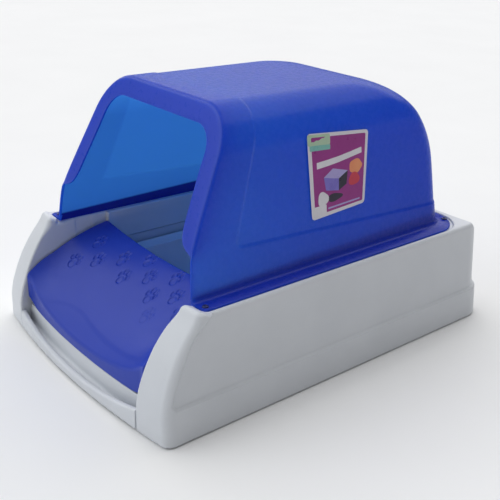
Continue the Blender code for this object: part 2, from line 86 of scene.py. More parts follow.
def rmax(a, b, r):
    """Intersection with a round edge of radius r."""
    return np.minimum(-r, np.maximum(a, b)) + np.sqrt(np.maximum(r + a, 0.0) ** 2 + np.maximum(r + b, 0.0) ** 2)


def sstep(t):
    t = np.clip(t, 0.0, 1.0)
    return t * t * (3.0 - 2.0 * t)


def gradient(fn, p, e=0.15):
    g = np.zeros_like(p)
    for k in range(3):
        d = np.zeros(3)
        d[k] = e
        a, b = p + d, p - d
        g[:, k] = (fn(a[:, 0], a[:, 1], a[:, 2]) - fn(b[:, 0], b[:, 1], b[:, 2])) / (2 * e)
    return g


def project(fn, p, reach, rounds=3):
    for _ in range(rounds):
        g = gradient(fn, p)
        v = fn(p[:, 0], p[:, 1], p[:, 2])
        step = (v / np.maximum((g ** 2).sum(1), 1e-3))[:, None] * g
        ln = np.linalg.norm(step, axis=1, keepdims=True)
        p = p - step * np.minimum(1.0, reach / np.maximum(ln, 1e-9))
    g = gradient(fn, p)
    n = g / np.maximum(np.linalg.norm(g, axis=1, keepdims=True), 1e-9)
    return p, n


def surface_net(fn, lo, hi, h):
    """Closed quad surface of fn = 0 (fn < 0 inside) on a grid of pitch h."""
    lo, hi = np.array(lo, float), np.array(hi, float)
    n = np.ceil((hi - lo) / h).astype(int) + 1
    ax = [(lo[k] + h * np.arange(n[k])).astype(np.float32) for k in range(3)]
    v = np.empty(tuple(n), np.float32)
    for i in range(0, n[0], 24):
        j = min(n[0], i + 24)
        v[i:j] = fn(ax[0][i:j, None, None], ax[1][None, :, None], ax[2][None, None, :])
    v[np.abs(v) < 1e-6] = 1e-6
    s = v < 0
    act = np.zeros(tuple(n - 1), np.int8)
    for a in (0, 1):
        for b in (0, 1):
            for c in (0, 1):
                act += s[a:n[0] - 1 + a, b:n[1] - 1 + b, c:n[2] - 1 + c]
    cells = np.argwhere((act > 0) & (act < 8))
    ids = -np.ones(tuple(n - 1), np.int32)
    ids[cells[:, 0], cells[:, 1], cells[:, 2]] = np.arange(len(cells))
    acc = np.zeros((len(cells), 3))
    cnt = np.zeros(len(cells))
    corners = [(a, b, c) for a in (0, 1) for b in (0, 1) for c in (0, 1)]
    for a in corners:
        for k in range(3):
            if a[k]:
                continue
            b = list(a)
            b[k] = 1
            va = v[cells[:, 0] + a[0], cells[:, 1] + a[1], cells[:, 2] + a[2]]
            vb = v[cells[:, 0] + b[0], cells[:, 1] + b[1], cells[:, 2] + b[2]]
            m = (va < 0) != (vb < 0)
            t = np.where(m, va / np.where(m, va - vb, 1.0), 0.0)
            q = np.tile(np.array(a, float), (len(cells), 1))
            q[:, k] += t
            acc[m] += q[m]
            cnt[m] += 1
    p = lo + h * (cells + acc / cnt[:, None])
    quads = []
    for k in range(3):
        sl_a = [slice(1, -1)] * 3
        sl_b = [slice(1, -1)] * 3
        sl_a[k], sl_b[k] = slice(0, -1), slice(1, None)
        e = np.argwhere(s[tuple(sl_a)] != s[tuple(sl_b)])
        for d in range(3):
            if d != k:
                e[:, d] += 1
        u, w = (k + 1) % 3, (k + 2) % 3

        def cell(du, dw):
            c = e.copy()
            c[:, u] -= du
            c[:, w] -= dw
            return ids[c[:, 0], c[:, 1], c[:, 2]]

        q = np.stack([cell(1, 1), cell(0, 1), cell(0, 0), cell(1, 0)], axis=1)
        out = ~s[e[:, 0], e[:, 1], e[:, 2]]
        q[out] = q[out][:, ::-1]
        quads.append(q)
    q = np.concatenate(quads)
    q = q[(q >= 0).all(1)]
    return p, q


def solid(name, fn, lo, hi, h, mat, body, keep=1.0):
    """A moulded piece from its distance function; flat stretches are thinned out again."""
    p, q = surface_net(fn, lo, hi, h)
    p, nrm = project(fn, p, 0.5 * h)
    if keep >= 1.0:
        return make_mesh(name, p, q, mat, nrm, body)
    tmp = make_mesh(name + "_dense", p, q, mat)
    mod = tmp.modifiers.new("thin", 'DECIMATE')
    mod.ratio = keep
    me = bpy.data.meshes.new_from_object(tmp.evaluated_get(bpy.context.evaluated_depsgraph_get()))
    bpy.data.objects.remove(tmp)
    co = np.zeros(len(me.vertices) * 3)
    me.vertices.foreach_get("co", co)
    co = co.reshape(-1, 3) * 1000.0
    co[:, 1] += Y_MID
    me.calc_loop_triangles()
    tri = np.zeros(len(me.loop_triangles) * 3, np.int32)
    me.loop_triangles.foreach_get("vertices", tri)
    tri = tri.reshape(-1, 3)
    bpy.data.meshes.remove(me)
    p, nrm = project(fn, co, 0.25 * h)
    return make_mesh(name, p, tri, mat, nrm, body)


# ------------------------------------------------------------------ materials
def nodes_of(name):
    m = bpy.data.materials.new(name)
    m.use_nodes = True
    nt = m.node_tree
    for n in list(nt.nodes):
        nt.nodes.remove(n)
    out = nt.nodes.new("ShaderNodeOutputMaterial")
    b = nt.nodes.new("ShaderNodeBsdfPrincipled")
    nt.links.new(b.outputs[0], out.inputs["Surface"])
    co = nt.nodes.new("ShaderNodeTexCoord")
    return m, nt, b, out, co.outputs["Object"]


def noise(nt, co, scale, detail=3.0, rough=0.55, stretch=None):
    if stretch is not None:
        mp = nt.nodes.new("ShaderNodeMapping")
        mp.inputs["Scale"].default_value = stretch
        nt.links.new(co, mp.inputs["Vector"])
        co = mp.outputs[0]
    n = nt.nodes.new("ShaderNodeTexNoise")
    n.inputs["Scale"].default_value = scale
    n.inputs["Detail"].default_value = detail
    n.inputs["Roughness"].default_value = rough
    nt.links.new(co, n.inputs["Vector"])
    return n.outputs["Fac"]


def span(nt, fac, a, b, lo=0.3, hi=0.7):
    r = nt.nodes.new("ShaderNodeMapRange")
    r.inputs["From Min"].default_value = lo
    r.inputs["From Max"].default_value = hi
    r.inputs["To Min"].default_value = a
    r.inputs["To Max"].default_value = b
    nt.links.new(fac, r.inputs["Value"])
    return r.outputs[0]


def mix(nt, fac, a, b):
    m = nt.nodes.new("ShaderNodeMix")
    m.data_type = 'RGBA'
    for s, v in ((m.inputs[6], a), (m.inputs[7], b)):
        if isinstance(v, tuple):
            s.default_value = (*v[:3], 1.0)
        else:
            nt.links.new(v, s)
    if isinstance(fac, (int, float)):
        m.inputs[0].default_value = fac
    else:
        nt.links.new(fac, m.inputs[0])
    return m.outputs[2]


def math_node(nt, op, a, b=None):
    m = nt.nodes.new("ShaderNodeMath")
    m.operation = op
    for s, v in ((m.inputs[0], a), (m.inputs[1], b)):
        if v is None:
            continue
        if isinstance(v, (int, float)):
            s.default_value = v
        else:
            nt.links.new(v, s)
    return m.outputs[0]


def bump(nt, b, height, strength, dist, base=None):
    n = nt.nodes.new("ShaderNodeBump")
    n.inputs["Strength"].default_value = strength
    n.inputs["Distance"].default_value = dist
    nt.links.new(height, n.inputs["Height"])
    if base is not None:
        nt.links.new(base, n.inputs["Normal"])
    nt.links.new(n.outputs[0], b.inputs["Normal"])
    return n.outputs[0]


def plastic(name, c0, c1, rough, grain=0.05, spec=0.5, scuff=(0.5, 0.5, 0.5), scuff_amount=0.12,
            coat=0.0, through=None, share=0.0):
    """Moulded plastic: cloudy colour, fine spark-eroded grain, faint scuffs and flow lines."""
    m, nt, b, out, co = nodes_of(name)
    cloud = noise(nt, co, 9.0, 3.0)
    fine = noise(nt, co, 900.0, 2.0, 0.6)
    mid = noise(nt, co, 140.0, 3.0, 0.6)
    scr = noise(nt, co, 60.0, 4.0, 0.6, stretch=(1.0, 9.0, 3.0))
    col = mix(nt, span(nt, cloud, 0.0, 1.0), c0, c1)
    worn = span(nt, scr, 0.0, scuff_amount, 0.62, 0.78)
    col = mix(nt, worn, col, scuff)
    nt.links.new(col, b.inputs["Base Color"])
    r = math_node(nt, 'ADD', span(nt, mid, rough - 0.05, rough + 0.06), span(nt, scr, 0.0, 0.12, 0.6, 0.8))
    nt.links.new(r, b.inputs["Roughness"])
    b.inputs["Specular IOR Level"].default_value = spec
    b.inputs["Coat Weight"].default_value = coat
    b.inputs["Coat Roughness"].default_value = 0.12
    n1 = bump(nt, b, fine, grain, 0.0006)
    bump(nt, b, mid, grain * 0.5, 0.0012, n1)
    if share > 0.0:
        t = nt.nodes.new("ShaderNodeBsdfTranslucent")
        t.inputs["Color"].default_value = (*through, 1.0)
        ms = nt.nodes.new("ShaderNodeMixShader")
        ms.inputs[0].default_value = share
        nt.links.new(b.outputs[0], ms.inputs[1])
        nt.links.new(t.outputs[0], ms.inputs[2])
        nt.links.new(ms.outputs[0], out.inputs["Surface"])
    return m


WHITE = plastic("white_plastic", (0.62, 0.645, 0.685), (0.67, 0.695, 0.735), 0.40, 0.08, 0.50, (0.40, 0.40, 0.41), 0.10)
PAN = plastic("pan_plastic", (0.62, 0.66, 0.72), (0.68, 0.72, 0.78), 0.40, 0.08, 0.45, (0.42, 0.42, 0.44), 0.14)
HOOD = plastic("blue_hood_plastic", (0.016, 0.050, 0.610), (0.020, 0.058, 0.660), 0.27, 0.006, 0.32,
               (0.06, 0.10, 0.50), 0.05, through=(0.15, 0.46, 0.97), share=0.46)
# painted light: a lighter, greyer copy of the hood plastic for the front-facing in-turned band
HOOD_BAND_PAINTED_LIGHT = plastic("blue_hood_plastic_band_painted_light", (0.040, 0.085, 0.560), (0.046, 0.095, 0.600), 0.30, 0.008, 0.34,
                    (0.08, 0.13, 0.50), 0.05, through=(0.12, 0.40, 0.95), share=0.40)
# inside of the hood; inner_share below paints a band of shade along its foot
HOOD_IN = plastic("blue_hood_plastic_inside", (0.012, 0.060, 0.480), (0.016, 0.070, 0.520), 0.36, 0.02, 0.20,
                  (0.06, 0.12, 0.46), 0.05, through=(0.42, 0.78, 1.0), share=0.70)


def inner_share(m):
    """Inside, the wall lets light through and glows where it is thin and free; along its foot, behind the base's rim,
    it carries painted shade: little light let through and a darker colour.
    """
    nt = m.node_tree
    co = [n for n in nt.nodes if n.type == 'TEX_COORD'][0].outputs["Object"]
    sx = nt.nodes.new("ShaderNodeSeparateXYZ")
    nt.links.new(co, sx.inputs[0])
    yy, zz = sx.outputs["Y"], sx.outputs["Z"]
    edge = math_node(nt, 'ADD', math_node(nt, 'MULTIPLY', yy, 0.024), 0.1665)
    # free is 0 on the foot band, where the shade is painted, and 1 above it
    free = span(nt, math_node(nt, 'SUBTRACT', zz, edge), 0.0, 1.0, -0.0012, 0.0016)
    t1 = math_node(nt, 'SUBTRACT', yy, math_node(nt, 'ADD', math_node(nt, 'MULTIPLY', zz, 0.33), -0.2267))
    t2 = math_node(nt, 'SUBTRACT', zz, math_node(nt, 'ADD', math_node(nt, 'MULTIPLY', yy, -0.0472), 0.1955))
    thin = span(nt, math_node(nt, 'MINIMUM', t1, t2), 0.0, 1.0, -0.001, 0.003)
    ms = [n for n in nt.nodes if n.type == 'MIX_SHADER'][0]
    crown = span(nt, zz, 0.0, 1.0, 0.30, 0.33)
    part = math_node(nt, 'ADD', math_node(nt, 'MULTIPLY', thin, 0.10), math_node(nt, 'MULTIPLY', crown, 0.28))
    amount = math_node(nt, 'MULTIPLY', free, math_node(nt, 'ADD', part, 0.56))
    nt.links.new(math_node(nt, 'ADD', amount, 0.02), ms.inputs[0])
    # painted shade: the foot band below the free line also gets a darker colour
    b = [n for n in nt.nodes if n.type == 'BSDF_PRINCIPLED'][0]
    old = b.inputs["Base Color"].links[0].from_socket
    nt.links.new(mix(nt, free, (0.010, 0.010, 0.300), old), b.inputs["Base Color"])


inner_share(HOOD_IN)


def outer_share(m, low, more):
    """The flat crown lets more light through than the walls do."""
    nt = m.node_tree
    co = [n for n in nt.nodes if n.type == 'TEX_COORD'][0].outputs["Object"]
    sx = nt.nodes.new("ShaderNodeSeparateXYZ")
    nt.links.new(co, sx.inputs[0])
    crown = span(nt, sx.outputs["Z"], 0.0, more, 0.325, 0.362)
    ms = [n for n in nt.nodes if n.type == 'MIX_SHADER'][0]
    nt.links.new(math_node(nt, 'ADD', crown, low), ms.inputs[0])


outer_share(HOOD, 0.45, 0.13)
RAMP = plastic("blue_ramp_plastic", (0.018, 0.048, 0.430), (0.024, 0.058, 0.460), 0.33, 0.06, 0.28,
               (0.10, 0.13, 0.40), 0.12, through=(0.03, 0.10, 0.70), share=0.10)
STUD = plastic("stud_plastic", (0.010, 0.016, 0.11), (0.014, 0.022, 0.14), 0.30, 0.05, 0.5, (0.08, 0.10, 0.25), 0.10)
RUBBER = plastic("foot_rubber", (0.030, 0.030, 0.033), (0.042, 0.042, 0.045), 0.72, 0.25, 0.3, (0.12, 0.12, 0.12), 0.3)


def vinyl(name, c0, c1, rough=0.30):
    m, nt, b, out, co = nodes_of(name)
    n1 = noise(nt, co, 26.0, 3.0)
    dots = noise(nt, co, 1500.0, 1.0, 0.5)
    col = mix(nt, span(nt, n1, 0.0, 1.0), c0, c1)
    col = mix(nt, span(nt, dots, 0.0, 0.12, 0.4, 0.7), col, tuple(min(1.0, v * 1.6 + 0.02) for v in c1))
    nt.links.new(col, b.inputs["Base Color"])
    nt.links.new(span(nt, n1, rough - 0.05, rough + 0.08), b.inputs["Roughness"])
    b.inputs["Specular IOR Level"].default_value = 0.3
    bump(nt, b, n1, 0.05, 0.0004)
    return m


# ------------------------------------------------------------------ base shell
def table(xs, ys):
    """Smooth interpolation of a short list of dimensions."""
    xs, ys = np.array(xs, float), np.array(ys, float)
    fine = np.linspace(xs[0], xs[-1], 400)
    d = np.gradient(ys, xs)
    k = np.clip(np.searchsorted(xs, fine) - 1, 0, len(xs) - 2)
    h = xs[k + 1] - xs[k]
    t = (fine - xs[k]) / h
    val = ((2 * t ** 3 - 3 * t ** 2 + 1) * ys[k] + (t ** 3 - 2 * t ** 2 + t) * h * d[k]
           + (-2 * t ** 3 + 3 * t ** 2) * ys[k + 1] + (t ** 3 - t ** 2) * h * d[k + 1])

    def f(v):
        return np.interp(v, fine, val)
    return f


def bow(x):
    return -18.0 * (1.0 - np.minimum(1.0, np.abs(x) / 212.0) ** 2)


sweep_in = table([-20, 0, 18, 36, 47, 60, 72, 84.5, 97, 108.5, 120, 131.5, 142.5, 148, 153, 160],
                 [0, 0, 0, 0, 1.5, 4.5, 8.5, 13, 18.5, 24.5, 31.5, 39.5, 48, 51.8, 54.5, 58])


def sweep(z):
    return np.maximum(0.0, sweep_in(z))


panel_edge = table([47, 63.5, 85.6, 107.3, 128.3, 140.5, 147, 153, 160], [9.5, 12, 21, 31.5, 44, 57, 66, 72, 78])


def slope(fn, v, e=0.5):
    return (fn(v + e) - fn(v - e)) / (2 * e)


def rounded_box2(x, y, hx, y0, y1, r):
    return rmax(np.abs(x) - hx, np.maximum(y0 - y, y - y1), r)


def base_fn(x, y, z):
    panel = rmin(z - 47.5, (y - panel_edge(z)) * 0.72, 0.01)
    panel = -rmax(-(z - 47.5), -(y - panel_edge(z)) * 0.72, 7.0)
    step = sstep((panel + 1.0) / 3.4)
    inset = 10.0 * np.maximum(z, 0.0) / 153.0 + 3.6 * step
    side = np.abs(x) - (212.0 - inset)
    back = y - (603.0 - inset)
    body = rmax(side, back, 40.0)
    sz = slope(sweep, z)
    front = (bow(x) + sweep(z) - y) / np.sqrt(1.0 + sz ** 2 + (2.0 * 18.0 * x / 212.0 ** 2) ** 2)
    body = rmax(body, front, 11.0)
    # top: rim level, a nub over each pillar, and the hand-hold scoop at the back
    yy = y - bow(x)
    nub = 4.6 * (1.0 - sstep((yy - 57.5) / 13.0))
    wide = 1.0 - 0.45 * sstep((np.abs(x) - 166.0) / 18.0)
    scoop = 14.6 * sstep((y - 560.0) / 17.0) * wide
    top = z - (153.0 + nub - scoop)
    f = rmax(body, top, 6.0)
    f = rmax(f, 1.6 - z, 1.4)
    # seat for the hood's flange
    seat = np.where(y < 300.0, rounded_box2(x, y, 191.5, 63.9, 900.0, 9.0), rounded_box2(x, y, 191.5, -300.0, 551.8, 48.0))
    seat = np.maximum(seat, 149.7 - z)
    f = rmax(f, -seat, 1.3)
    # bay for the ramp, open in front; its sides flare outwards, and its floor stops behind the drawer's front
    xi = np.interp(z, [4.6, 70.0, 110.0, 150.0, 220.0], [155.5, 155.5, 157.5, 162.5, 167.5])
    bay = rmax(np.abs(x) - xi, y - 116.0, 3.0)
    bay = np.maximum(bay, np.minimum(4.6 - z, y - bow(x) - 10.0))
    high = rmax(np.maximum(np.abs(x) - xi, y - 140.0), 96.0 - z, 3.0)
    nubcut = 3.0 + 6.0 * sstep((z - 128.0) / 22.0) * (1.0 - sstep((y - 75.0) / 15.0))
    f = rmax(f, -bay, nubcut)
    f = rmax(f, -np.maximum(high, 90.0 - y), 2.5)
    # bay for the litter pan, set back below a ledge
    xb = 157.0 + 2.6 * sstep((104.0 - z) / 1.6)
    tub = rmax(np.abs(x) - xb, np.abs(y - 320.0) - (xb + 41.0), 32.0)
    tub = rmax(tub, 4.6 - z, 1.5)
    f = rmax(f, -tub, 2.2)
    # hollow walls, open below
    inner_x = np.where(y < 150.0, np.maximum(162.8, xi + 3.4), 162.8)
    hollow = np.maximum(np.maximum(np.abs(x) - (194.5 - 0.065 * z), inner_x - np.abs(x)),
                        np.maximum(30.0 - y, y - 540.0))
    hollow = np.maximum(hollow, np.maximum(z - np.where(y < 155.0, 128.0, 143.0), bow(x) + sweep(z) + 17.0 - y))
    back_h = np.maximum(np.maximum(np.abs(x) - 152.0, 524.5 - y), np.maximum(y - 583.0, z - 128.0))
    f = rmax(f, -np.minimum(hollow, back_h), 1.2)
    return f


base = solid("base_moulding", base_fn, (-215, -21, -1), (215, 607, 160.5), 2.3, WHITE, "base", keep=0.42)
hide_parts("base_shell")


# ------------------------------------------------------------------ front drawer
def drawer_fn(x, y, z):
    yy = y - bow(x)
    u = np.minimum(1.0, np.abs(x) / 155.5)
    s = 13.0 + 17.0 * u ** 2.2
    sill = rmax(rmax(-yy, yy - 8.0, 2.4), z - s, 3.2)
    sill = np.maximum(sill, 3.0 - z)
    trough = np.maximum(rmax(yy - 18.0, z - 8.6, 0.5), np.maximum(4.0 - yy, 4.6 - z))
    riser = rmax(np.maximum(16.4 - yy, yy - 19.4), z - 36.4, 1.2)
    riser = np.maximum(riser, 5.4 - z)
    floor = np.maximum(np.maximum(9.5 - yy, y - 107.0), np.maximum(5.4 - z, z - 8.0))
    backw = rmax(np.maximum(104.0 - y, y - 107.0), z - 34.0, 1.2)
    backw = np.maximum(backw, 5.4 - z)
    walls = rmax(np.maximum(151.6 - np.abs(x), 7.0 - y), z - (33.0 - 3.0 * sstep((14.0 - y) / 8.0)), 1.2)
    walls = np.maximum(walls, np.maximum(y - 106.5, 5.6 - z))
    f = rmin(sill, trough, 4.5)
    f = rmin(f, riser, 4.0)
    f = rmin(f, floor, 2.0)
    f = rmin(f, backw, 2.0)
    f = rmin(f, walls, 3.0)
    f = np.maximum(f, 3.0 - z)
    f = np.maximum(f, np.where(yy > 9.5, 4.9 - z, -50.0))
    return rmax(f, np.abs(x) - 154.6, 0.8)


drawer = solid("drawer_moulding", drawer_fn, (-158, -21, 1), (158, 110, 40), 1.25, WHITE, "drawer", keep=0.4)
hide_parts("front_drawer")


# ------------------------------------------------------------------ litter pan
def pan_fn(x, y, z):
    lean = 5.0 * (z - 5.0) / 85.0
    ax = np.abs(x)
    cy, hy = 319.5, 192.5
    outer = rmax(ax - (140.0 + lean * 0.6), np.abs(y - cy) - (hy - 9.0 + lean * 0.4), 17.0)
    outer = rmax(outer, 5.2 - z, 8.0)
    outer = rmax(outer, z - 84.0, 1.0)
    flange = rmax(ax - 155.0, np.abs(y - cy) - (hy + 5.2), 25.0)
    # the flange slopes down into the tub
    edge = rmax(ax - 140.0, np.abs(y - cy) - (hy - 9.0), 17.0)
    t = np.clip(edge / 15.0, 0.0, 1.2)
    flange = rmax(flange, z - (79.5 + 10.5 * sstep(t)), 1.6)
    flange = rmax(flange, (75.0 + 9.0 * sstep(t)) - z, 1.2)
    f = rmin(outer, flange, 3.0)
    inner = rmax(ax - (136.3 + lean * 0.6), np.abs(y - cy) - (hy - 12.7 + lean * 0.4), 13.3)
    inner = rmax(inner, 8.2 - z, 7.0)
    return rmax(f, -inner, 1.3)


pan = solid("pan_moulding", pan_fn, (-158, 119, 3), (158, 520, 93), 1.45, PAN, "pan", keep=0.25)
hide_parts("litter_pan")


# ------------------------------------------------------------------ entry ramp
ramp_edge = table([-8, -1, 3.7, 14, 26, 48, 70, 100, 125, 140, 150], [62, 76, 83.5, 92.5, 100.5, 110, 120, 130, 136, 138, 138.5])
ramp_mid = table([-6, -3, 20, 50, 85, 112, 127, 140, 150], [48.5, 50.5, 67, 86.5, 109, 126, 134, 138, 139])


def ramp_y0(x):
    over = np.maximum(0.0, np.abs(x) - 141.8)
    return bow(x) + 16.0 - 4.0 * (over / 13.0) ** 2


def ramp_y1(x):
    return 140.0 - 8.5 * (1.0 - np.minimum(1.0, np.abs(x) / 154.8) ** 2)


PAWS = [(-89, 82.5, 1.2), (-23, 84.5, 1.2), (47, 83.5, 1.2), (114, 82, 1.0), (-117, 102, 0.8), (-51, 102.5, 1.1),
        (17.5, 101.5, 1.1), (84.5, 97.5, 1.1), (-121, 63, 1.0), (71, 62.5, 0.5), (59, 116.5, 1.0), (-8, 119, 0.8)]
TOES = [(-8.0, 2.5, 2.5), (-3.2, 7.6, 2.9), (3.2, 7.6, 2.9), (8.0, 2.5, 2.5)]
wave = table([-160, -110, -94, -62, -30, -2, 24, 54, 78, 104, 130, 160], [-12, 0, 7, 17.5, 20.5, 17, 14, 12, 11.5, 12, 14, 17])


def ramp_top(x, y):
    m, e = ramp_mid(y), ramp_edge(y)
    u = np.minimum(1.0, np.abs(x) / 154.8)
    z = m + (e - m) * (0.45 * u ** 2.2 + 0.55 * u ** 8)
    z = z - 0.5 * (1.0 - sstep((y - wave(x)) / 7.0))
    for px, py, deep in PAWS:
        dx, dy = x - px, (y - py) * 0.92
        pad = np.sqrt((dx / 1.2) ** 2 + (dy + 4.0) ** 2) - 4.6
        for tx, ty, tr in TOES:
            pad = np.minimum(pad, np.sqrt((dx - tx) ** 2 + ((dy - ty) / 1.2) ** 2) - tr)
        z = z - 1.3 * deep * sstep(0.5 - pad / 2.2)
    return z


def ramp_fn(x, y, z):
    zt = ramp_top(x, y)
    e = 0.6
    gx = (ramp_top(x + e, y) - ramp_top(x - e, y)) / (2 * e)
    gy = (ramp_top(x, y + e) - ramp_top(x, y - e)) / (2 * e)
    g = np.sqrt(1.0 + np.minimum(gx ** 2 + gy ** 2, 4.0))
    t = (z - zt) / g
    lipf = ramp_y0(x) - y
    f = rmax(t, lipf, 2.8)
    f = rmax(f, np.abs(x) - 154.8, 2.2)
    f = rmax(f, y - ramp_y1(x), 3.0)
    shell = rmax(f, -(f + 3.0), 0.7)
    u = np.minimum(1.0, np.abs(x) / 154.8)
    zb = np.where(-lipf < 8.0, 37.0 + 15.0 * u ** 16,
                  np.where(np.abs(x) > 148.0, zt - 22.0, np.where(ramp_y1(x) - y < 8.0, zt - 9.0, 20.0)))
    return rmax(shell, zb - z, 1.0)


ramp = solid("ramp_moulding", ramp_fn, (-158, -8, 33), (158, 144, 144), 1.3, RAMP, "ramp", keep=0.55)
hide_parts("entry_ramp")


# ------------------------------------------------------------------ hood
TOP, R_S, R_B = 366.0, 60.0, 127.0
A_S = math.atan2(23.0, 153.0)
A_B = math.atan2(14.0, 213.0)
ZC_S, ZC_B = TOP - R_S, TOP - R_B
ZT_S = ZC_S + R_S * math.sin(A_S)
CX = 167.0 - (ZT_S - 153.0) * math.tan(A_S) - R_S * math.cos(A_S)
ZT_B = ZC_B + R_B * math.sin(A_B)
CY = 530.0 - (ZT_B - 153.0) * math.tan(A_B) - R_B * math.cos(A_B)


def half_w(z):
    if z < ZT_S:
        return 167.0 - (z - 153.0) * math.tan(A_S)
    return CX + math.sqrt(max(0.0, R_S ** 2 - (z - ZC_S) ** 2))


def back_y(z):
    if z < ZT_B:
        return 530.0 - (z - 153.0) * math.tan(A_B)
    return CY + math.sqrt(max(0.0, R_B ** 2 - (z - ZC_B) ** 2))


def front_y(z):
    """The opening's leaning front plane, upright cheeks below, with a soft bend between."""
    a = 64.3 + 3.0 * (z - 153.0) / 54.0
    b = 67.3 + 75.7 * (z - 207.0) / 159.0
    k = 6.0
    return 0.5 * (a + b + math.sqrt((a - b) ** 2 + k * k))


def levels(n=1):
    lv = [158.0, 161, 165, 169.5, 174, 178]
    lv += list(np.arange(180.5, 216.0, 1.6))
    lv += list(np.arange(219.0, ZT_S - 1.0, 3.6))
    for a in np.linspace(A_S, math.pi / 2, 26):
        lv.append(ZC_S + R_S * math.sin(a))
    return lv


LV = levels()
N_ARC = 12
U_SIDE = list(np.arange(0.0, 178.0, 1.9))
U_FAR = 46


def ring(z, y_start, inset=0.0):
    """Right half of the hood's plan at height z: front to back along the side, round the corner, to the middle."""
    hx, yb = half_w(z) - inset, back_y(z) - inset
    rc = 33.0 + 12.0 * ((z - 153.0) / 213.0) ** 2 - inset
    y_end = yb - rc
    pts = []
    s_near = U_SIDE[-1]
    for s in U_SIDE:
        pts.append((hx, y_start + s * min(1.0, (y_end - y_start) / 420.0)))
    y_n = pts[-1][1]
    for k in range(1, U_FAR + 1):
        pts.append((hx, y_n + (y_end - y_n) * k / U_FAR))
    for k in range(1, N_ARC + 1):
        a = math.pi / 2 * k / N_ARC
        pts.append((hx - rc + rc * math.cos(a), y_end + rc * math.sin(a)))
    xc = hx - rc
    for k in range(1, 17):
        pts.append((xc * (1 - k / 16.0), yb))
    return pts


def bezel_w(z):
    """How far the in-turned band reaches; it fades out at the cheeks."""
    return float(np.interp(z, [205.0, 208.0, 210.5, 213.6, 217.0, 221.0, 228.0, 238.0, 247.0, 300.0, 340.0, 366.0],
                           [3.0, 3.6, 9.0, 15.5, 20.0, 23.3, 26.2, 27.8, 28.0, 28.0, 26.0, 25.0]))


